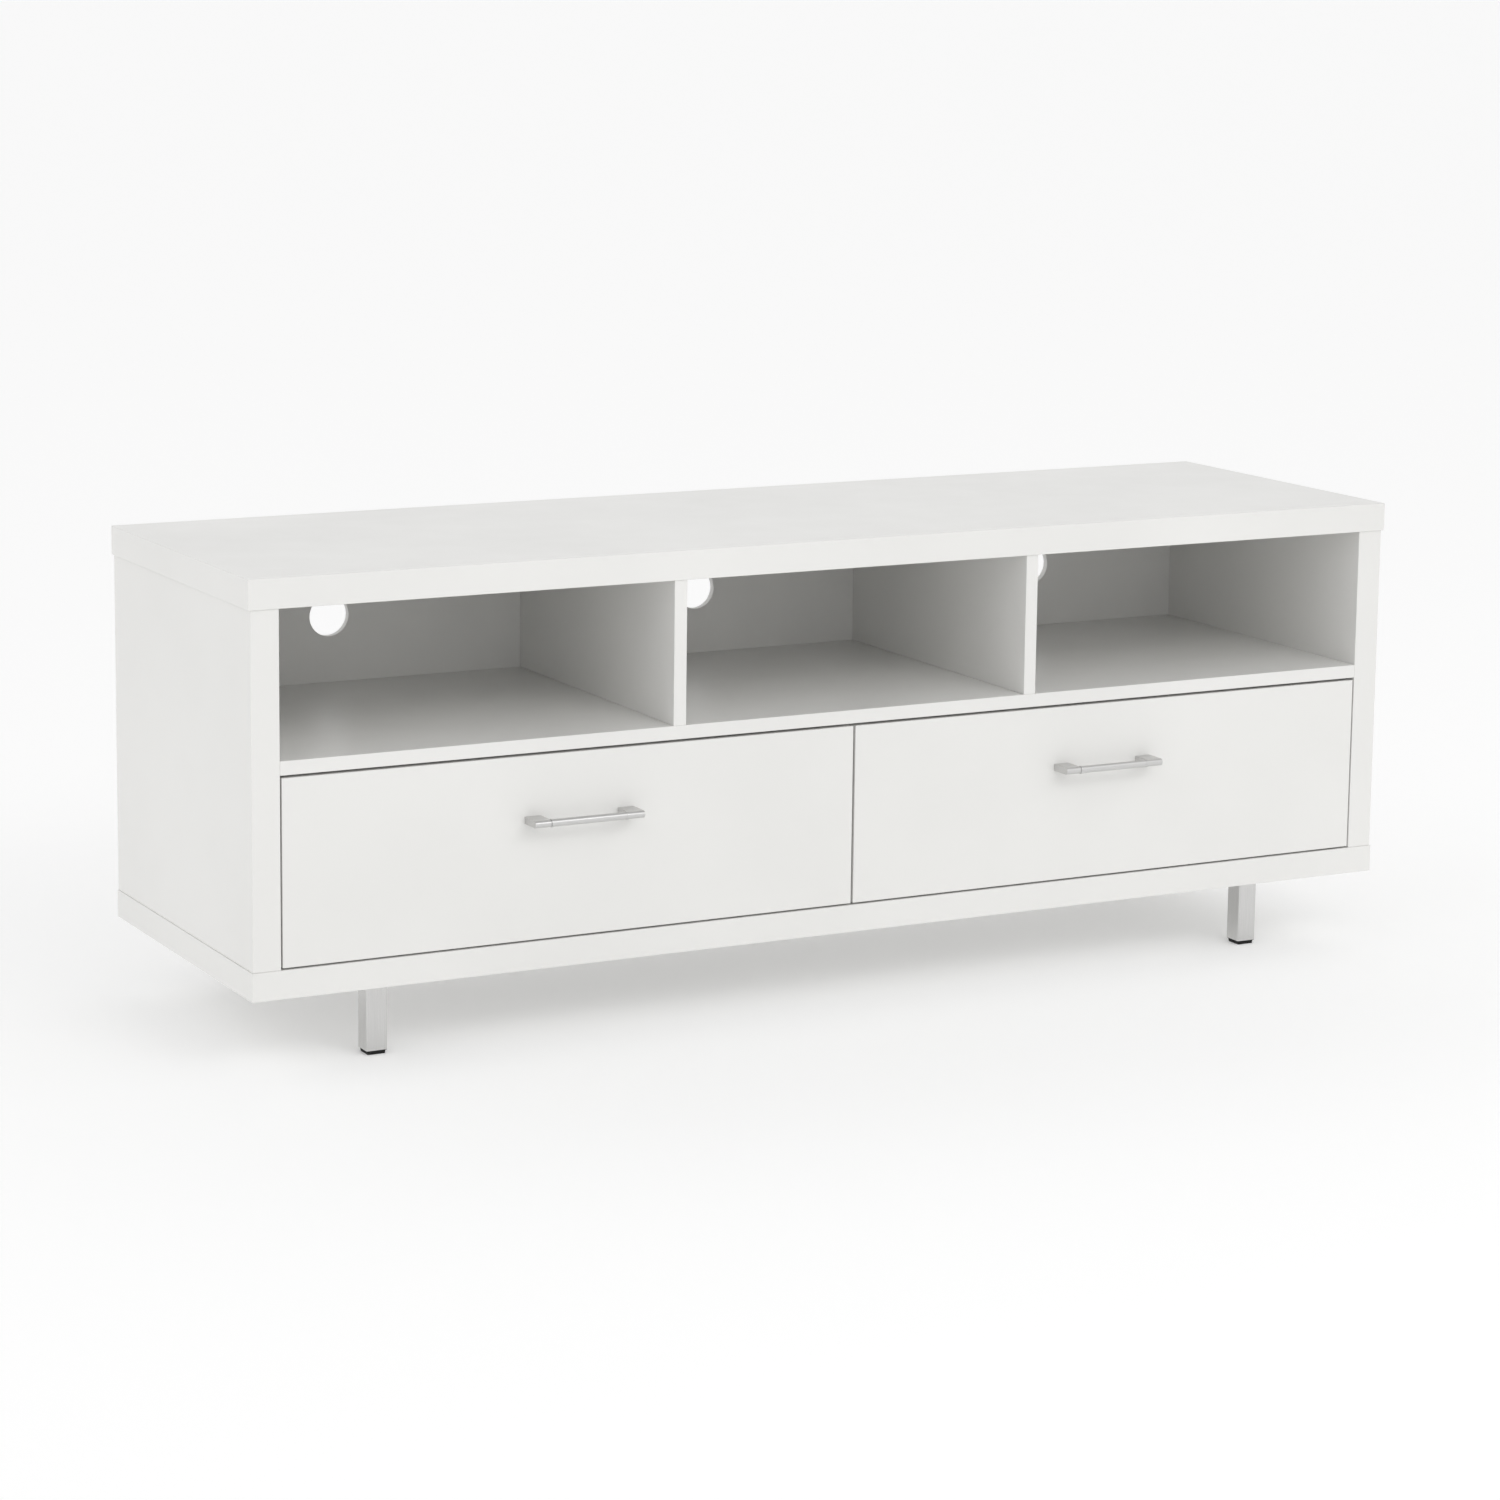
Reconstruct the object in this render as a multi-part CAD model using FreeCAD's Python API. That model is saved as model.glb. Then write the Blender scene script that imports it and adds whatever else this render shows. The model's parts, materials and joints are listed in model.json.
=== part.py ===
"""A low media console: a slab-sided cabinet on four square metal legs.

Three open bays with cable ports stand over two wide drawers. The drawers run on full-extension
ball-bearing runners. Millimetres, +Z up, front towards -Y, origin on the floor under the middle of
the overall box.
"""

import FreeCAD
import Part
import os

V = FreeCAD.Vector
X_AXIS, Y_AXIS, Z_AXIS = V(1, 0, 0), V(0, 1, 0), V(0, 0, 1)

# Driving sizes
width = 1500.0  # over the top slab
top_depth = 438.0
height = 552.5
top_thickness = 34.0
bottom_thickness = 32.5
side_thickness = 33.0
thin_board = 16.0  # shelf, dividers, partition and drawer fronts
leg_height = 86.0  # floor to the underside of the bottom slab
bay_height = 167.5
divider_offset = 233.5  # middle of each divider from the middle of the middle bay
bay_shift = 5.0  # the middle bay, its dividers and the ports sit a little to the right
side_overhang = 3.0  # the top slab past the sides
bottom_overhang = 1.2  # the bottom slab past the sides
front_overhang = 2.0  # the top slab past the sides' front edges
bottom_front_overhang = 1.0
partition_setback = 2.0  # behind the drawer fronts
edge_round = 0.7
fit_gap = 0.1  # clearance round a dowel or a screw

# Drawers
reveal = 2.0  # gap round a drawer front
top_reveal = 3.0
middle_reveal = 3.0
box_board = 12.0
box_height = 150.0
box_depth = 370.0
box_bottom_thickness = 5.0
box_bottom_lift = 12.0
box_floor_gap = 22.0  # inside floor of the cabinet to the underside of a drawer box
groove_depth = 6.0
corner_screw_low = 38.0  # the lows from the box's underside, the highs from its top edge
corner_screw_high = 25.0
front_screw_inset = 70.0
front_screw_low = 32.0
front_screw_high = 28.0

# Handles
handle_length = 136.0
handle_offset = 349.0  # middle of each handle from the middle of the pair
handle_shift = -5.5  # the pair sits a little to the left
handle_height = 259.0
handle_reach = 30.0
bar_radius = 4.4
spigot_radius = 3.0  # of the bar's end inside a post
post_width = 20.0
post_height = 8.4
bar_in_post = 6.0
collar_radius = 4.8
collar_width = 3.0

# Runners, three members in a stack 12.7 mm thick
runner_length = 350.0
runner_stack = 12.7
runner_sheet = 1.2
cage_length = 120.0
cage_rest = 115.0  # start of a ball cage behind the runner's front end
balls_in_row = 7
runner_setback = 3.0  # behind the rear face of the drawer front
runner_drop = 5.0  # below the middle of the drawer box
wall_screw_places = (35.0, 175.0, 320.0)  # from the runner's front end
box_screw_places = (60.0, 200.0, 340.0)

# Back
back_thickness = 9.0
back_recess = 12.0
port_radius = 25.0
port_offset = 492.0  # outer ports from the middle one
port_height = 431.5
back_screw_row = (-600.0, -360.0, -120.0, 120.0, 360.0, 600.0)
back_screw_inset = 45.0  # of a divider's screws from the shelf and the top slab
partition_screw_inset = 50.0
seam_screw_offset = 4.2  # screws stand this far either side of a seam

# Legs
leg_size = 25.4
leg_wall = 1.5
leg_side_inset = 150.0  # end of the cabinet to the leg
leg_front_inset = 35.5
leg_plate_size = 70.0
leg_plate_thickness = 3.0
leg_screw_pitch = 52.0
tube_corner = 1.6
plate_corner = 6.0
glide_height = 5.0
glide_flange = 0.8

# Dowels, shelf cams and screws
dowel_length = 30.0
dowel_radius = 4.0
dowel_chamfer = 0.8
dowel_in_shelf = 10.0
joint_front = 55.0  # dowels and cams of the sides, from the front edge
joint_middle = 210.0
joint_back = 50.0  # from the back panels
divider_joint_inset = 80.0
partition_joint_front = 70.0
partition_joint_back = 60.0
cam_radius = 7.5  # of the hole
cam_depth = 12.5
cam_setback = 24.0  # inner face of the side to the middle of a cam
cam_recess = 0.3
cam_slot = (9.0, 1.6, 2.0)  # length, width, depth
bolt_bite = 11.0  # length of the bolt inside the side
bolt_radius = 2.9
bolt_collar_radius = 3.6

# Each screw is length, shank radius and head radius
divider_screw = (45.0, 2.0, 4.0)
back_screw = (25.0, 1.5, 3.0)
leg_screw = (25.0, 2.0, 4.0)
runner_wall_screw = (8.0, 1.5, 2.6)
runner_box_screw = (9.0, 1.5, 2.6)
box_corner_screw = (35.0, 1.7, 3.4)
front_screw = (24.0, 1.9, 4.2)
handle_screw = (40.0, 2.0, 4.0)
screw_tip = 2.5
pan_head_height = 2.2

# Runner members: how far each web stands off the wall, how far its flanges reach, half its height
outer_member = {"web": (0.0, runner_sheet), "flange_to": 9.5, "half_height": 22.5}
middle_member = {"web": (3.2, 3.2 + runner_sheet), "flange_to": 10.9, "half_height": 18.5}
inner_member = {"web": (runner_stack - runner_sheet, runner_stack), "flange_to": 6.4, "half_height": 14.0}
outer_cage = {"strip": (1.8, 2.4), "arm_to": 8.6, "row_height": 19.9, "ball_radius": 1.25}
inner_cage = {"strip": (4.9, 5.5), "arm_to": 10.2, "row_height": 15.65, "ball_radius": 1.4}
cage_arm_half = 0.4

# Places worked out from them
overall_depth = top_depth + handle_reach - front_overhang
top_front = -overall_depth / 2 + handle_reach - front_overhang
top_back = top_front + top_depth
face_y = top_front + front_overhang  # front edges and drawer faces
back_face = top_back - back_recess - back_thickness  # inner face of the back panels
side_out = width / 2 - side_overhang
side_in = side_out - side_thickness
floor_z = leg_height + bottom_thickness  # inside floor of the cabinet
roof_z = height - top_thickness
shelf_top = roof_z - bay_height
shelf_low = shelf_top - thin_board
front_back_y = face_y + thin_board  # rear face of a drawer front
front_low = floor_z + reveal
front_high = shelf_low - top_reveal
partition_x = thin_board / 2
box_in = partition_x + runner_stack
box_out = side_in - runner_stack
box_low = floor_z + box_floor_gap
box_high = box_low + box_height
runner_z = box_low + box_height / 2 - runner_drop
runner_y = front_back_y + runner_setback
leg_x = width / 2 - leg_side_inset - leg_size / 2
leg_front_y = top_front + leg_front_inset + leg_size / 2
leg_back_y = top_back - leg_front_inset - leg_size / 2

parts = {}
left, right = -1, 1
side_names = {left: "left", right: "right"}
divider_places = {s: bay_shift + s * divider_offset for s in side_names}


def box(x0, x1, y0, y1, z0, z1):
    x0, x1 = min(x0, x1), max(x0, x1)
    y0, y1 = min(y0, y1), max(y0, y1)
    return Part.makeBox(x1 - x0, y1 - y0, z1 - z0, V(x0, y0, z0))


def board(x0, x1, y0, y1, z0, z1, radius=edge_round):
    """A finished board with softened edges."""
    plain = box(x0, x1, y0, y1, z0, z1)
    return plain.makeFillet(radius, plain.Edges)


def rod(start, direction, length, radius):
    return Part.makeCylinder(radius, length, start, direction)


def dowel(middle, direction, grow=0.0):
    """A beech dowel: a plain rod with chamfered ends, or its hole when grow is given."""
    length = dowel_length + 2 * grow
    start = middle - direction * (length / 2)
    peg = rod(start, direction, length, dowel_radius + grow)
    return peg if grow else peg.makeChamfer(dowel_chamfer, peg.Edges)


def cross_recess(head_point, direction, reach, depth):
    """The driver's cross-shaped socket in a screw head."""
    blade = 0.35
    arms = [
        box(-reach, reach, -blade, blade, -0.1, depth),
        box(-blade, blade, -reach, reach, -0.1, depth),
    ]
    cross = arms[0].fuse(arms[1]).removeSplitter()
    cross.Placement = FreeCAD.Placement(head_point, FreeCAD.Rotation(Z_AXIS, direction))
    return cross


def screw(head_point, direction, length, radius, head_radius, grow=0.0):
    """A countersunk wood screw, driven along direction, with its head's flat face at head_point."""
    head_height = head_radius - radius
    start = head_point - direction * grow
    head = Part.makeCone(head_radius + grow, radius + grow, head_height + grow, start, direction)
    shank_length = length - screw_tip
    shank = rod(start, direction, shank_length, radius + grow)
    tip_start = start + direction * shank_length
    tip = Part.makeCone(radius + grow, 0.4 + grow, screw_tip + grow, tip_start, direction)
    driven = head.fuse([shank, tip]).removeSplitter()
    if grow:
        return driven
    return driven.cut(cross_recess(head_point, direction, 0.6 * head_radius, 1.0))


def pan_screw(head_point, direction, length, radius, head_radius, grow=0.0):
    """A pan-head screw: the underside of its head is at head_point."""
    head_top = head_point - direction * pan_head_height
    head = rod(head_top, direction, pan_head_height, head_radius + grow)
    shank = rod(head_point, direction, length + grow, radius + grow)
    if not grow:
        circles = [e for e in head.Edges if e.Curve.TypeId == "Part::GeomCircle"]
        top = min(circles, key=lambda e: (e.CenterOfMass - head_point).dot(direction))
        head = head.makeFillet(0.9, [top])
    driven = head.fuse(shank).removeSplitter()
    if grow:
        return driven
    return driven.cut(cross_recess(head_top, direction, 0.5 * head_radius, 1.3))


def drill(node, cutters):
    """Cuts the same holes out of every solid of a node."""
    parts[node] = [solid.cut(cutters) for solid in parts[node]]


def make_cabinet():
    parts["top_slab"] = [board(-width / 2, width / 2, top_front, top_back, roof_z, height)]
    bottom_x = side_out + bottom_overhang
    bottom_front = face_y - bottom_front_overhang
    parts["bottom_slab"] = [board(-bottom_x, bottom_x, bottom_front, top_back, leg_height, floor_z)]
    for s, name in side_names.items():
        side_x = (s * side_in, s * side_out)
        parts[f"side_panel_{name}"] = [board(*side_x, face_y, top_back, floor_z, roof_z)]
        divider_x = divider_places[s]
        parts[f"bay_divider_{name}"] = [
            board(
                divider_x - thin_board / 2, divider_x + thin_board / 2, face_y, back_face, shelf_top, roof_z
            )
        ]
    parts["middle_shelf"] = [board(-side_in, side_in, face_y, back_face, shelf_low, shelf_top)]
    partition_front = front_back_y + partition_setback
    parts["drawer_partition"] = [
        board(-partition_x, partition_x, partition_front, back_face, floor_z, shelf_low)
    ]
    make_back()
    join_cabinet()


def make_back():
    """Three upper back panels with a cable port each, and one plain panel behind the drawers."""
    back_rear = back_face + back_thickness
    tongue = groove_depth - 0.5
    seam = shelf_top - thin_board / 2
    edges = [-side_in - tongue, divider_places[left], divider_places[right], side_in + tongue]
    port_places = [bay_shift + i * port_offset for i in (-1, 0, 1)]
    for name, x0, x1, port_x in zip(("left", "middle", "right"), edges, edges[1:], port_places):
        panel = box(x0 + 0.2, x1 - 0.2, back_face, back_rear, seam + 0.2, roof_z + tongue)
        port = rod(V(port_x, back_face - 1, port_height), Y_AXIS, back_thickness + 2, port_radius)
        parts[f"back_panel_{name}"] = [panel.cut(port)]
    parts["back_panel_lower"] = [
        box(edges[0], edges[-1], back_face, back_rear, floor_z - tongue, seam - 0.2)
    ]
    # grooves that take the panels' edges
    reach = side_in + groove_depth
    groove = box(
        -reach, reach, back_face - 0.2, back_rear + 0.2, floor_z - groove_depth, roof_z + groove_depth
    )
    for node in ("top_slab", "bottom_slab", "side_panel_left", "side_panel_right"):
        drill(node, [groove])


def join_cabinet():
    """Hidden dowels, shelf cams and screws, with their holes."""
    side_y = [face_y + joint_front, face_y + joint_middle, back_face - joint_back]
    divider_y = [face_y + divider_joint_inset, back_face - divider_joint_inset]
    fit_dowels(side_y, divider_y)
    fit_shelf_cams(side_y)
    screw_dividers(divider_y)
    screw_back()


def fit_dowels(side_y, divider_y):
    """Dowels from the slabs into the uprights, and from the partition into the shelf."""
    upright_x = [s * (side_in + side_thickness / 2) for s in side_names]
    top = [V(x, y, roof_z) for x in upright_x for y in side_y]
    top += [V(divider_places[s], y, roof_z) for s in side_names for y in divider_y]
    bottom = [V(x, y, floor_z) for x in upright_x for y in side_y]
    partition_y = [face_y + partition_joint_front, back_face - partition_joint_back]
    bottom += [V(0, y, floor_z) for y in partition_y]
    shelf = [V(0, y, shelf_low + dowel_in_shelf - dowel_length / 2) for y in partition_y]
    parts["wood_dowels"] = [dowel(p, Z_AXIS) for p in top + bottom + shelf]

    cut_top = [dowel(p, Z_AXIS, fit_gap) for p in top]
    cut_bottom = [dowel(p, Z_AXIS, fit_gap) for p in bottom]
    cut_shelf = [dowel(p, Z_AXIS, fit_gap) for p in shelf]
    drill("top_slab", cut_top)
    drill("bottom_slab", cut_bottom)
    for name in side_names.values():
        drill(f"side_panel_{name}", cut_top + cut_bottom)
        drill(f"bay_divider_{name}", cut_top)
    drill("drawer_partition", cut_bottom + cut_shelf)
    drill("middle_shelf", cut_shelf)


def cam_disc(cam_x, y, bolt_z, outward):
    """A slotted cam in the underside of the shelf, with the bolt's way in from the side."""
    disc = rod(V(cam_x, y, shelf_low + cam_recess), Z_AXIS, cam_depth - 0.5, cam_radius - fit_gap)
    half_long, half_wide = cam_slot[0] / 2, cam_slot[1] / 2
    slot_top = shelf_low + cam_slot[2]
    slot = box(cam_x - half_long, cam_x + half_long, y - half_wide, y + half_wide, shelf_low, slot_top)
    passage = rod(V(cam_x, y, bolt_z), outward, 9.0, bolt_radius + 0.3)
    return disc.cut([slot, passage])


def cam_bolt(cam_x, y, bolt_z, outward, grow=0.0):
    """The collared bolt from a cam into the side, or its hole when grow is given."""
    start = V(cam_x, y, bolt_z) + outward * (2.0 - 10 * grow)
    length = cam_setback + bolt_bite - 2.0 + 15 * grow
    bolt = rod(start, outward, length, bolt_radius + grow)
    collar_start = V(cam_x, y, bolt_z) + outward * (cam_setback - 2.0 - 2 * grow)
    collar = rod(collar_start, outward, 2.0 + 4 * grow, bolt_collar_radius + grow)
    return bolt.fuse(collar).removeSplitter()


def fit_shelf_cams(side_y):
    """Shelf to sides: cam discs under the shelf, bolts run level into the sides."""
    cams, bolts, cam_holes, bolt_holes = [], [], [], []
    bolt_z = shelf_low + thin_board / 2
    for s in side_names:
        for y in side_y:
            spot = (s * (side_in - cam_setback), y, bolt_z, X_AXIS * s)
            cams.append(cam_disc(*spot))
            bolts.append(cam_bolt(*spot))
            cam_holes.append(rod(V(spot[0], y, shelf_low - 1), Z_AXIS, cam_depth + 1, cam_radius))
            bolt_holes.append(cam_bolt(*spot, grow=fit_gap))
    parts["shelf_cam_discs"] = cams
    parts["shelf_cam_bolts"] = bolts
    drill("middle_shelf", cam_holes + bolt_holes)
    for name in side_names.values():
        drill(f"side_panel_{name}", bolt_holes)


def screw_dividers(divider_y):
    """The dividers are screwed up through the shelf, heads flush underneath."""
    spots = [V(divider_places[s], y, shelf_low) for s in side_names for y in divider_y]
    parts["divider_screws"] = [screw(p, Z_AXIS, *divider_screw) for p in spots]
    holes = [screw(p, Z_AXIS, *divider_screw, grow=fit_gap) for p in spots]
    drill("middle_shelf", holes)
    for name in side_names.values():
        drill(f"bay_divider_{name}", holes)


def screw_back():
    """The back panels are screwed to the rear edges of the dividers, shelf and partition."""
    rear = back_face + back_thickness
    beside = (-seam_screw_offset, seam_screw_offset)
    spots = []
    for s in side_names:
        for z in (shelf_top + back_screw_inset, roof_z - back_screw_inset):
            spots += [(divider_places[s] + d, z) for d in beside]
    for x in back_screw_row:
        spots += [(x, shelf_low + thin_board / 2 - d) for d in beside]
    spots += [(0.0, floor_z + partition_screw_inset), (0.0, shelf_low - partition_screw_inset)]
    points = [V(x, rear, z) for x, z in spots]
    parts["back_screws"] = [screw(p, -Y_AXIS, *back_screw) for p in points]
    holes = [screw(p, -Y_AXIS, *back_screw, grow=fit_gap) for p in points]
    for node in ("left", "middle", "right", "lower"):
        drill(f"back_panel_{node}", holes)
    for node in ("bay_divider_left", "bay_divider_right", "middle_shelf", "drawer_partition"):
        drill(node, holes)


def make_legs():
    spots = {
        "front_left": V(-leg_x, leg_front_y, 0),
        "front_right": V(leg_x, leg_front_y, 0),
        "back_left": V(-leg_x, leg_back_y, 0),
        "back_right": V(leg_x, leg_back_y, 0),
    }
    screws, holes, plates = [], [], []
    half, inner = leg_size / 2, leg_size / 2 - leg_wall
    plate_low = leg_height - leg_plate_thickness
    for name, p in spots.items():
        tube = square_block(p, half, glide_height, plate_low)
        tube = tube.makeFillet(tube_corner, upright_edges(tube))
        bore = square_block(p, inner, glide_height - 1, plate_low + 1)
        parts[f"leg_tube_{name}"] = [tube.cut(bore)]

        reach, pitch = leg_plate_size / 2, leg_screw_pitch / 2
        plate = square_block(p, reach, plate_low, leg_height)
        plate = plate.makeFillet(plate_corner, upright_edges(plate))
        fixings = [V(p.x + i * pitch, p.y + j * pitch, plate_low) for i in (-1, 1) for j in (-1, 1)]
        cutters = [screw(f, Z_AXIS, *leg_screw, grow=fit_gap) for f in fixings]
        plates.append(plate.cut(cutters))
        screws += [screw(f, Z_AXIS, *leg_screw) for f in fixings]
        holes += cutters
        parts[f"leg_glide_{name}"] = [leg_glide(p, inner)]
    parts["leg_plates"] = plates
    parts["leg_screws"] = screws
    drill("bottom_slab", holes)


def upright_edges(solid):
    return [e for e in solid.Edges if abs(e.tangentAt(e.FirstParameter).z) > 0.9]


def square_block(p, half, z0, z1):
    return box(p.x - half, p.x + half, p.y - half, p.y + half, z0, z1)


def square_wire(p, half, z):
    corners = [V(p.x + i * half, p.y + j * half, z) for i, j in ((-1, -1), (1, -1), (1, 1), (-1, 1))]
    return Part.makePolygon(corners + corners[:1])


def leg_glide(p, inner):
    """A hollow plug with a thin flange under the tube and a slightly tapered foot below it."""
    flange_low = glide_height - glide_flange
    flange_half, plug_half = inner + 0.6, inner - 0.15
    foot_low_half, foot_high_half = inner - 0.9, inner - 0.4
    plug_top, wall, cup_floor = 18.0, 2.0, 6.0
    foot = Part.makeLoft(
        [square_wire(p, foot_low_half, 0), square_wire(p, foot_high_half, flange_low)], True, True
    )
    flange = square_block(p, flange_half, flange_low, glide_height)
    plug = square_block(p, plug_half, glide_height, plug_top)
    hollow = square_block(p, plug_half - wall, cup_floor, plug_top + 1)
    return foot.fuse([flange, plug.cut(hollow)]).removeSplitter()


def channel(wall_x, inward, web, flange_to, half_height):
    """A C section along Y. Distances run from the cabinet wall at wall_x towards the drawer."""
    y0, y1 = runner_y, runner_y + runner_length
    u0, u1 = web
    low, high = runner_z - half_height, runner_z + half_height
    stem = box(wall_x + inward * u0, wall_x + inward * u1, y0, y1, low, high)
    flange_u = sorted((flange_to, u0 if flange_to > u0 else u1))
    pieces = []
    for sign in (-1, 1):
        outer = runner_z + sign * half_height
        z0, z1 = sorted((outer, outer - sign * runner_sheet))
        pieces.append(box(wall_x + inward * flange_u[0], wall_x + inward * flange_u[1], y0, y1, z0, z1))
    return stem.fuse(pieces).removeSplitter()


def ball_cage(wall_x, inward, strip, arm_to, row_height, ball_radius):
    """A pressed strip that joins two rows of balls, made as one solid."""
    y0, y1 = runner_y + cage_rest, runner_y + cage_rest + cage_length
    u0, u1 = strip
    low, high = runner_z - row_height, runner_z + row_height
    body = box(wall_x + inward * u0, wall_x + inward * u1, y0, y1, low, high)
    pieces = []
    ball_x = wall_x + inward * ((u1 + arm_to) / 2 + 1.0)
    arm_x = (wall_x + inward * u0, wall_x + inward * arm_to)
    pitch = cage_length / balls_in_row
    for sign in (-1, 1):
        z = runner_z + sign * row_height
        pieces.append(box(*arm_x, y0, y1, z - cage_arm_half, z + cage_arm_half))
        for i in range(balls_in_row):
            pieces.append(Part.makeSphere(ball_radius, V(ball_x, y0 + pitch * (i + 0.5), z)))
    return body.fuse(pieces).removeSplitter()


def release_lever(wall_x, inward):
    """The plastic tongue in the drawer member's channel that lets the drawer be lifted out."""
    setback, length, thickness, half_height = 8.0, 44.0, 2.4, 7.0
    pad_length, pad_thickness, pad_lift = 14.0, 4.3, 2.0
    u1 = runner_stack - runner_sheet
    back_x = wall_x + inward * u1
    root_x, pad_x = wall_x + inward * (u1 - thickness), wall_x + inward * (u1 - pad_thickness)
    y0 = runner_y + setback
    low, high = runner_z - half_height, runner_z + half_height
    root = box(root_x, back_x, y0, y0 + length, low, high)
    pad = box(pad_x, back_x, y0, y0 + pad_length, low + pad_lift, high + pad_lift)
    lever = root.fuse(pad).removeSplitter()
    along_runner = [e for e in lever.Edges if e.Length > 10.0 and abs(e.tangentAt(e.FirstParameter).y) > 0.9]
    return lever.makeFillet(0.6, along_runner)


def make_runners(s):
    """The two runners of one drawer, one on the cabinet side and one on the partition.

    Returns the screws that hold their inner members to the drawer box.
    """
    name = side_names[s]
    walls = ((s * side_in, -s, f"side_panel_{name}"), (s * partition_x, s, "drawer_partition"))
    groups = {key: [] for key in ("cabinet", "middle", "drawer", "outer_cages", "inner_cages", "levers")}
    wall_screws, box_screws = [], []
    for wall_x, inward, wall_node in walls:
        to_wall, to_box = X_AXIS * -inward, X_AXIS * inward
        web_x = wall_x + inward * runner_sheet
        spots = [V(web_x, runner_y + d, runner_z) for d in wall_screw_places]
        cutters = [screw(p, to_wall, *runner_wall_screw, grow=fit_gap) for p in spots]
        groups["cabinet"].append(channel(wall_x, inward, **outer_member).cut(cutters))
        drill(wall_node, cutters)
        wall_screws += [screw(p, to_wall, *runner_wall_screw) for p in spots]

        web_x = wall_x + inward * (runner_stack - runner_sheet)
        spots = [V(web_x, runner_y + d, runner_z) for d in box_screw_places]
        cutters = [screw(p, to_box, *runner_box_screw, grow=fit_gap) for p in spots]
        groups["drawer"].append(channel(wall_x, inward, **inner_member).cut(cutters))
        box_side = "outer" if wall_node.startswith("side") else "inner"
        drill(f"drawer_side_{box_side}_{name}", cutters)
        box_screws += [screw(p, to_box, *runner_box_screw) for p in spots]

        groups["middle"].append(channel(wall_x, inward, **middle_member))
        groups["outer_cages"].append(ball_cage(wall_x, inward, **outer_cage))
        groups["inner_cages"].append(ball_cage(wall_x, inward, **inner_cage))
        groups["levers"].append(release_lever(wall_x, inward))
    for group, solids in groups.items():
        parts[f"runner_{group}_{name}"] = solids
    parts.setdefault("runner_wall_screws", []).extend(wall_screws)
    return box_screws


def make_drawer(s):
    name = side_names[s]
    gap_in, gap_out = middle_reveal / 2, reveal
    parts[f"drawer_front_{name}"] = [
        board(s * gap_in, s * (side_in - gap_out), face_y, front_back_y, front_low, front_high)
    ]
    y0, y1 = front_back_y, front_back_y + box_depth
    x_in, x_out = s * box_in, s * box_out
    parts[f"drawer_side_inner_{name}"] = [box(x_in, x_in + s * box_board, y0, y1, box_low, box_high)]
    parts[f"drawer_side_outer_{name}"] = [box(x_out - s * box_board, x_out, y0, y1, box_low, box_high)]
    mid0, mid1 = x_in + s * box_board, x_out - s * box_board
    parts[f"drawer_inner_front_{name}"] = [box(mid0, mid1, y0, y0 + box_board, box_low, box_high)]
    lift = box_low + box_bottom_lift
    over = lift + box_bottom_thickness
    parts[f"drawer_box_back_{name}"] = [box(mid0, mid1, y1 - box_board, y1, over, box_high)]
    tongue = groove_depth - 0.5
    parts[f"drawer_bottom_{name}"] = [
        box(mid0 - s * tongue, mid1 + s * tongue, y0 + box_board - tongue, y1, lift, over)
    ]
    groove = box(
        mid0 - s * groove_depth, mid1 + s * groove_depth, y0 + box_board - groove_depth, y1 + 1,
        lift - 0.1, over,
    )
    for piece in ("side_inner", "side_outer", "inner_front"):
        drill(f"drawer_{piece}_{name}", [groove])

    # Box corners: screws from outside the sides into the inner front and the box back.
    corner = []
    for x, inward in ((x_in, s), (x_out, -s)):
        for y in (y0 + box_board / 2, y1 - box_board / 2):
            for z in (box_low + corner_screw_low, box_high - corner_screw_high):
                corner.append((V(x, y, z), X_AXIS * inward, *box_corner_screw))
    holes = [screw(*f, grow=fit_gap) for f in corner]
    for piece in ("side_inner", "side_outer", "inner_front", "box_back"):
        drill(f"drawer_{piece}_{name}", holes)

    # Front board: held by pan-head screws through the inner front.
    reach = [x_in + s * front_screw_inset, x_out - s * front_screw_inset]
    levels = (box_low + front_screw_low, box_high - front_screw_high)
    front = [(V(x, y0 + box_board, z), -Y_AXIS, *front_screw) for x in reach for z in levels]
    holes = [pan_screw(*f, grow=fit_gap) for f in front]
    drill(f"drawer_inner_front_{name}", holes)
    drill(f"drawer_front_{name}", holes)
    screws = [screw(*f) for f in corner] + [pan_screw(*f) for f in front]
    screws += make_runners(s)
    parts[f"drawer_screws_{name}"] = screws
    make_handle(s)


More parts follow.
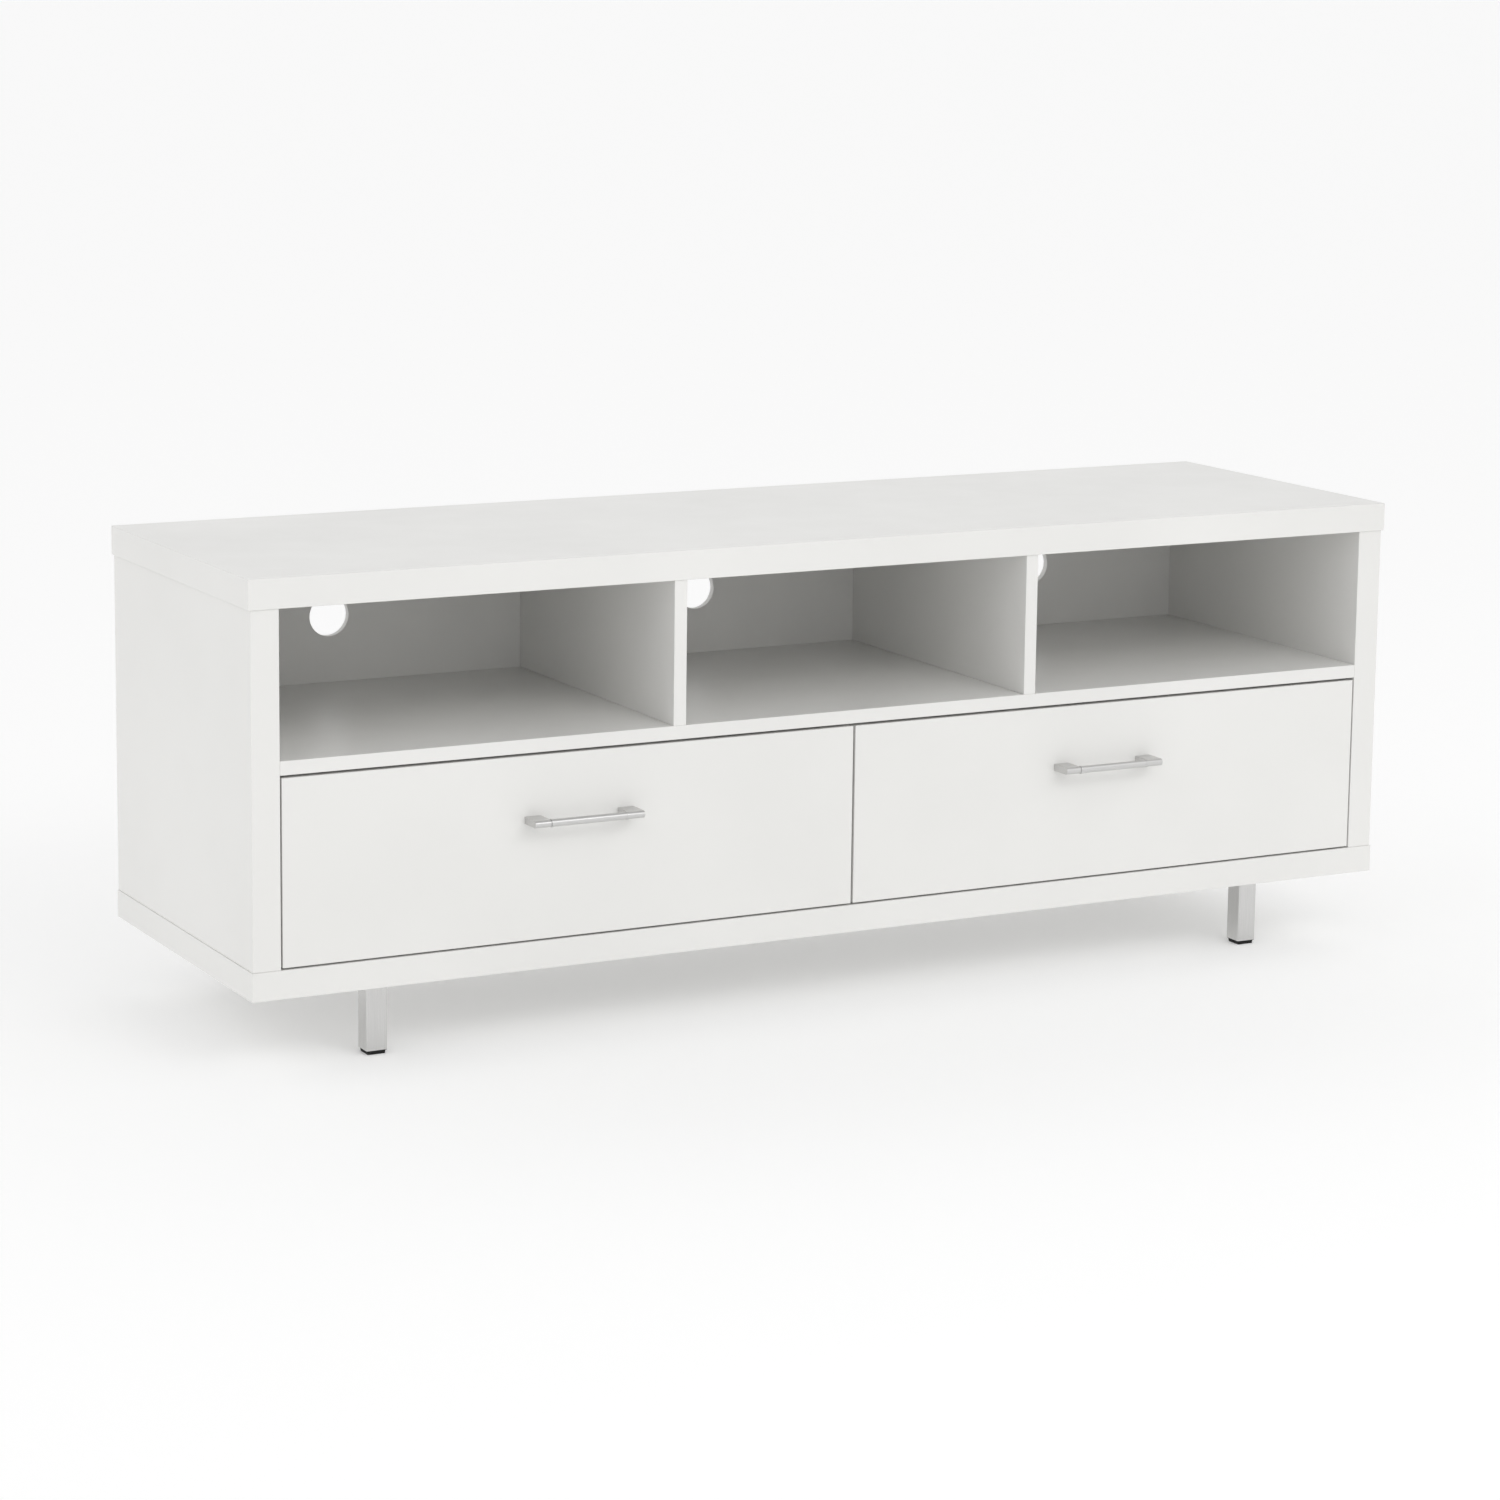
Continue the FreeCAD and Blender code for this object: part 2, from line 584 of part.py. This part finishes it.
def make_handle(s):
    """A round bar between two round-nosed posts, with a machine screw from inside the drawer in each."""
    name = side_names[s]
    middle = handle_shift + s * handle_offset
    radius = post_height / 2
    axis_y = face_y - handle_reach + radius
    posts, screws, cutters = [], [], []
    for end in (-1, 1):
        outer = middle + end * handle_length / 2
        x0 = min(outer, outer - end * post_width)
        nose = rod(V(x0, axis_y, handle_height), X_AXIS, post_width, radius)
        stem = box(x0, x0 + post_width, axis_y, face_y, handle_height - radius, handle_height + radius)
        post = nose.fuse(stem).removeSplitter()
        centre_x = x0 + post_width / 2
        ends = [e for e in post.Edges if abs(abs(e.CenterOfMass.x - centre_x) - post_width / 2) < 0.01]
        post = post.makeFillet(0.5, ends)
        spot = V(centre_x, front_back_y + box_board, handle_height)
        cutter = pan_screw(spot, -Y_AXIS, *handle_screw, grow=fit_gap)
        socket_mouth = V(centre_x - end * post_width / 2, axis_y, handle_height)
        socket = rod(socket_mouth, X_AXIS * end, bar_in_post + fit_gap, spigot_radius + 0.05)
        posts.append(post.cut([cutter, socket]))
        screws.append(pan_screw(spot, -Y_AXIS, *handle_screw))
        cutters.append(cutter)
    parts[f"handle_posts_{name}"] = posts
    parts[f"handle_screws_{name}"] = screws
    drill(f"drawer_front_{name}", cutters)
    drill(f"drawer_inner_front_{name}", cutters)

    clear = handle_length / 2 - post_width
    bar = rod(V(middle - clear, axis_y, handle_height), X_AXIS, 2 * clear, bar_radius)
    spigot_start = V(middle - clear - bar_in_post, axis_y, handle_height)
    spigot = rod(spigot_start, X_AXIS, 2 * (clear + bar_in_post), spigot_radius)
    collars = [
        rod(V(middle + end * clear, axis_y, handle_height), X_AXIS * -end, collar_width, collar_radius)
        for end in (-1, 1)
    ]
    parts[f"handle_bar_{name}"] = [bar.fuse([spigot] + collars).removeSplitter()]


def export():
    os.makedirs("parts", exist_ok=True)
    for node, solids in parts.items():
        shape = solids[0] if len(solids) == 1 else Part.makeCompound(solids)
        if not shape.isValid():
            raise RuntimeError(f"{node} is not valid")
        shape.exportStep(f"parts/{node}.step")
    print(len(parts), "nodes")


make_cabinet()
make_legs()
for side in side_names:
    make_drawer(side)
export()
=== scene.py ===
import bpy
import json
import math
from mathutils import Matrix, Vector

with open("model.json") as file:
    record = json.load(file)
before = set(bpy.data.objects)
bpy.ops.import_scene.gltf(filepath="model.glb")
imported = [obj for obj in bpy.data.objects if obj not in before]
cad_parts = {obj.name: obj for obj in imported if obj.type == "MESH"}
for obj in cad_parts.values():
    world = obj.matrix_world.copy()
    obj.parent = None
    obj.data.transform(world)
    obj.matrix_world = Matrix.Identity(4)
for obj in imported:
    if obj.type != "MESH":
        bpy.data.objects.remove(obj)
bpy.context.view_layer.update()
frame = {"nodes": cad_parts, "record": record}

nodes = frame["nodes"]

# where the camera stands and how it is held, in metres and degrees, round the cabinet's upright axis
camera = {
    "azimuth": -28.48,
    "reach": 4.833,
    "height": 1.2435,
    "heading": 28.15,
    "dip": 9.33,
    "roll": 0.70,
    "lens": 97.8,  # millimetres, as is the film's width
    "filmWidth": 36.0,
    "shiftDown": 0.10,
    "farthest": 900.0,
}


def makeCamera(spec):
    data = bpy.data.cameras.new("camera")
    data.lens = spec["lens"]
    data.sensor_width = spec["filmWidth"]
    data.shift_y = -spec["shiftDown"]
    data.clip_end = spec["farthest"]
    obj = bpy.data.objects.new("camera", data)
    around = math.radians(spec["azimuth"])
    obj.location = (math.sin(around) * spec["reach"], -math.cos(around) * spec["reach"], spec["height"])
    turn = Matrix.Rotation(-math.radians(spec["heading"]), 3, "Z")
    tilt = Matrix.Rotation(math.radians(90 - spec["dip"]), 3, "X")
    lean = Matrix.Rotation(math.radians(spec["roll"]), 3, "Z")
    obj.rotation_euler = (turn @ tilt @ lean).to_euler()
    bpy.context.scene.collection.objects.link(obj)
    bpy.context.scene.camera = obj


# white room: white at the horizon, brightest some forty degrees up, dim overhead
studio = {
    # height, from 0 at the horizon to 1 overhead, and brightness
    "sky": [(0.00, 1.00), (0.10, 1.00), (0.30, 0.80), (0.65, 1.31), (1.00, 0.25)],
    "floor": (0.90, 0.90, 0.90, 1.0),
    "floorRough": 0.9,
    "floorShine": 0.1,
    "floorGlow": 0.155,
    "floorHalf": 300.0,
}

# the one lamp, high in front of the drawers
softBoxes = {
    "highFront": {
        "place": (0.6, -4.6, 3.4), "aim": (0, 0, 0.35),
        "wide": 3.0, "tall": 1.4, "watts": 31.0,
    },
}


def makeSky(world, steps):
    world.use_nodes = True
    tree = world.node_tree
    sky = tree.nodes["Background"]
    direction = tree.nodes.new("ShaderNodeTexCoord")
    split = tree.nodes.new("ShaderNodeSeparateXYZ")
    ramp = tree.nodes.new("ShaderNodeValToRGB")
    stops = ramp.color_ramp.elements
    while len(stops) < len(steps):
        stops.new(0.5)
    brightest = max(level for height, level in steps)
    for stop, (height, level) in zip(stops, steps):
        stop.position = height
        stop.color = (level / brightest, level / brightest, level / brightest, 1)
    sky.inputs["Strength"].default_value = brightest
    tree.links.new(direction.outputs["Generated"], split.inputs["Vector"])
    tree.links.new(split.outputs["Z"], ramp.inputs["Fac"])
    tree.links.new(ramp.outputs["Color"], sky.inputs["Color"])


def makeFloor(spec):
    half = spec["floorHalf"]
    corners = [(-half, -half, 0), (half, -half, 0), (half, half, 0), (-half, half, 0)]
    mesh = bpy.data.meshes.new("floor")
    mesh.from_pydata(corners, [], [(0, 1, 2, 3)])
    floor = bpy.data.objects.new("floor", mesh)
    bpy.context.scene.collection.objects.link(floor)
    paper = bpy.data.materials.new("floorPaper")
    paper.use_nodes = True
    shader = paper.node_tree.nodes["Principled BSDF"]
    shader.inputs["Base Color"].default_value = spec["floor"]
    shader.inputs["Roughness"].default_value = spec["floorRough"]
    shader.inputs["Specular IOR Level"].default_value = spec["floorShine"]
    shader.inputs["Emission Color"].default_value = (1, 1, 1, 1)
    shader.inputs["Emission Strength"].default_value = spec["floorGlow"]
    mesh.materials.append(paper)


def makeSoftBox(name, spot):
    data = bpy.data.lights.new(name, "AREA")
    data.shape = "RECTANGLE"
    data.size = spot["wide"]
    data.size_y = spot["tall"]
    data.energy = spot["watts"]
    lamp = bpy.data.objects.new(name, data)
    lamp.location = spot["place"]
    lamp.rotation_mode = "QUATERNION"
    lamp.rotation_quaternion = (Vector(spot["aim"]) - Vector(spot["place"])).to_track_quat("-Z", "Y")
    lamp.visible_camera = False
    bpy.context.scene.collection.objects.link(lamp)


def makeStudio(spec, boxes):
    scene = bpy.context.scene
    scene.view_settings.view_transform = "Standard"
    scene.world = bpy.data.worlds.new("studio")
    makeSky(scene.world, spec["sky"])
    makeFloor(spec)
    for name, spot in boxes.items():
        makeSoftBox(name, spot)


makeCamera(camera)
makeStudio(studio, softBoxes)
print("camera and studio ready")


# shared steps for the finishes; patterns and depths are in metres on the piece itself
def startFinish(name, slot, metallic=0.0, specular=0.5):
    finish = bpy.data.materials.new(name)
    finish.use_nodes = True
    shader = finish.node_tree.nodes["Principled BSDF"]
    shader.inputs["Metallic"].default_value = metallic
    shader.inputs["Specular IOR Level"].default_value = specular
    finish["slot"] = slot
    return finish, shader


# size is the width of one blotch; stretch makes it longer along an axis; seed picks another patch
def addNoise(finish, size, stretch=(1, 1, 1), detail=3.0, seed=0.0):
    tree = finish.node_tree
    coords = tree.nodes.new("ShaderNodeTexCoord")
    place = tree.nodes.new("ShaderNodeMapping")
    place.inputs["Location"].default_value = (seed, seed * 1.7, seed * 0.6)
    place.inputs["Scale"].default_value = [1.0 / (size * s) for s in stretch]
    noise = tree.nodes.new("ShaderNodeTexNoise")
    noise.inputs["Scale"].default_value = 1.0
    noise.inputs["Detail"].default_value = detail
    tree.links.new(coords.outputs["Object"], place.inputs["Vector"])
    tree.links.new(place.outputs["Vector"], noise.inputs["Vector"])
    return noise.outputs["Fac"]


# where the mask is below start the tone is dark, above end it is light
def blendTone(finish, shader, mask, look, start=0.35, end=0.65):
    ramp = finish.node_tree.nodes.new("ShaderNodeValToRGB")
    darkStop, lightStop = ramp.color_ramp.elements
    darkStop.position = start
    darkStop.color = (*look["dark"], 1)
    lightStop.position = end
    lightStop.color = (*look["light"], 1)
    finish.node_tree.links.new(mask, ramp.inputs["Fac"])
    finish.node_tree.links.new(ramp.outputs["Color"], shader.inputs["Base Color"])


def varyGloss(finish, shader, mask, look):
    span = finish.node_tree.nodes.new("ShaderNodeMapRange")
    span.inputs["From Min"].default_value = 0.3
    span.inputs["From Max"].default_value = 0.7
    span.inputs["To Min"].default_value = look["smooth"]
    span.inputs["To Max"].default_value = look["rough"]
    finish.node_tree.links.new(mask, span.inputs["Value"])
    finish.node_tree.links.new(span.outputs["Result"], shader.inputs["Roughness"])


# under is a coarser relief that this one lies on
def addRelief(finish, shader, mask, depth, strength, under=None):
    bump = finish.node_tree.nodes.new("ShaderNodeBump")
    bump.inputs["Distance"].default_value = depth
    bump.inputs["Strength"].default_value = strength
    finish.node_tree.links.new(mask, bump.inputs["Height"])
    if under is not None:
        finish.node_tree.links.new(under.outputs["Normal"], bump.inputs["Normal"])
    finish.node_tree.links.new(bump.outputs["Normal"], shader.inputs["Normal"])
    return bump


whiteLacquer = {
    "dark": (0.776, 0.772, 0.753),
    "light": (0.804, 0.800, 0.781),
    "blotch": 0.28,
    "smooth": 0.30,
    "rough": 0.38,
    "glossPatch": 0.05,
    "sanding": 0.035,
    "sandingDepth": 0.00004,
    "orangePeel": 0.0016,
    "peelDepth": 0.00002,
}


def makeWhiteLacquer(look):
    finish, shader = startFinish("whiteLacquer", "white_lacquer", specular=0.45)
    blendTone(finish, shader, addNoise(finish, look["blotch"], detail=2.0), look)
    varyGloss(finish, shader, addNoise(finish, look["glossPatch"], detail=4.0, seed=3.1), look)
    sanding = addNoise(finish, look["sanding"], detail=2.0, seed=5.3)
    sanded = addRelief(finish, shader, sanding, look["sandingDepth"], 0.35)
    peel = addNoise(finish, look["orangePeel"], detail=2.0, seed=1.9)
    addRelief(finish, shader, peel, look["peelDepth"], 0.5, under=sanded)
    return finish


backBoard = {
    "dark": (0.765, 0.761, 0.745),
    "light": (0.805, 0.801, 0.783),
    "blotch": 0.19,
    "smooth": 0.50,
    "rough": 0.62,
    "glossPatch": 0.02,
    "fibre": 0.0022,
    "fibreDepth": 0.00005,
}


def makeBackBoard(look):
    finish, shader = startFinish("paintedBackBoard", "painted_back_board", specular=0.35)
    blendTone(finish, shader, addNoise(finish, look["blotch"], seed=2.0), look)
    varyGloss(finish, shader, addNoise(finish, look["glossPatch"], detail=4.0, seed=7.0), look)
    fibre = addNoise(finish, look["fibre"], detail=4.0, seed=4.0)
    addRelief(finish, shader, fibre, look["fibreDepth"], 0.6)
    return finish


drawerFoil = {
    "dark": (0.77, 0.77, 0.76),
    "light": (0.81, 0.81, 0.80),
    "blotch": 0.16,
    "smooth": 0.46,
    "rough": 0.58,
    "glossPatch": 0.012,
    "grain": 0.0009,
    "grainStretch": (18, 18, 1),
    "grainDepth": 0.00006,
}


def makeDrawerFoil(look):
    finish, shader = startFinish("drawerFoil", "drawer_box_board", specular=0.4)
    blendTone(finish, shader, addNoise(finish, look["blotch"], seed=6.0), look)
    varyGloss(finish, shader, addNoise(finish, look["glossPatch"], seed=1.0), look)
    grain = addNoise(finish, look["grain"], stretch=look["grainStretch"], seed=8.0)
    addRelief(finish, shader, grain, look["grainDepth"], 0.6)
    return finish


# line is the width of one brush line, stretch the axis it runs along
brushedMetal = {
    "legChrome": {
        "slot": "brushed_chrome", "dark": (0.60, 0.597, 0.59), "light": (0.69, 0.687, 0.68),
        "smooth": 0.10, "rough": 0.17, "stretch": (1, 1, 120), "line": 0.00035, "depth": 0.000008,
    },
    "handleNickel": {
        "slot": "satin_nickel", "dark": (0.58, 0.577, 0.57), "light": (0.66, 0.657, 0.65),
        "smooth": 0.30, "rough": 0.35, "stretch": (90, 1, 1), "line": 0.00025, "depth": 0.0000005,
    },
    "runnerZinc": {
        "slot": "zinc_plated_steel", "dark": (0.50, 0.52, 0.54), "light": (0.66, 0.68, 0.70),
        "smooth": 0.22, "rough": 0.40, "stretch": (1, 60, 1), "line": 0.0005, "depth": 0.00001,
    },
    "cageSteel": {
        "slot": "ball_cage_steel", "dark": (0.42, 0.42, 0.43), "light": (0.58, 0.58, 0.59),
        "smooth": 0.18, "rough": 0.34, "stretch": (1, 40, 1), "line": 0.0006, "depth": 0.00001,
    },
    "screwSteel": {
        "slot": "steel_screw", "dark": (0.46, 0.46, 0.45), "light": (0.66, 0.65, 0.62),
        "smooth": 0.24, "rough": 0.42, "stretch": (1, 1, 1), "line": 0.0011, "depth": 0.00002,
    },
    "camZinc": {
        "slot": "cast_zinc", "dark": (0.44, 0.44, 0.44), "light": (0.60, 0.60, 0.59),
        "smooth": 0.38, "rough": 0.55, "stretch": (1, 1, 1), "line": 0.0008, "depth": 0.00005,
    },
}
metalCloud = 0.014  # width of one duller patch


def makeBrushedMetal(name, look):
    finish, shader = startFinish(name, look["slot"], metallic=1.0)
    lines = addNoise(finish, look["line"], stretch=look["stretch"], seed=2.7)
    blendTone(finish, shader, lines, look, 0.25, 0.75)
    varyGloss(finish, shader, addNoise(finish, metalCloud, seed=9.0), look)
    addRelief(finish, shader, lines, look["depth"], 0.6)
    return finish


blackPlastic = {
    "dark": (0.006, 0.006, 0.006),
    "light": (0.012, 0.012, 0.012),
    "blotch": 0.006,
    "smooth": 0.50,
    "rough": 0.65,
    "glossPatch": 0.004,
    "mouldGrain": 0.0005,
    "grainDepth": 0.00003,
}


def makeBlackPlastic(look):
    finish, shader = startFinish("blackPlastic", "black_plastic", specular=0.25)
    blendTone(finish, shader, addNoise(finish, look["blotch"]), look)
    varyGloss(finish, shader, addNoise(finish, look["glossPatch"], seed=3.0), look)
    addRelief(finish, shader, addNoise(finish, look["mouldGrain"], seed=5.0), look["grainDepth"], 0.7)
    return finish


beech = {
    "dark": (0.47, 0.28, 0.15),
    "light": (0.66, 0.46, 0.28),
    "smooth": 0.55,
    "rough": 0.72,
    "grain": 0.0008,
    "grainStretch": (1, 1, 26),
    "grainDepth": 0.00006,
}


def makeBeech(look):
    finish, shader = startFinish("beechDowel", "beech", specular=0.3)
    grain = addNoise(finish, look["grain"], stretch=look["grainStretch"], detail=4.0)
    blendTone(finish, shader, grain, look)
    varyGloss(finish, shader, grain, look)
    addRelief(finish, shader, grain, look["grainDepth"], 0.7)
    return finish


# puts each finish on the pieces that came with the frame
def coatNodes():
    finishes = [
        makeWhiteLacquer(whiteLacquer),
        makeBackBoard(backBoard),
        makeDrawerFoil(drawerFoil),
        makeBlackPlastic(blackPlastic),
        makeBeech(beech),
    ]
    finishes += [makeBrushedMetal(name, look) for name, look in brushedMetal.items()]
    bySlot = {finish["slot"]: finish for finish in finishes}
    for part in frame["record"]["subparts"]:
        mesh = nodes[part["node"]].data
        for index in range(len(mesh.materials)):
            mesh.materials[index] = bySlot[part["material_slot"]]


coatNodes()
print("finishes on")
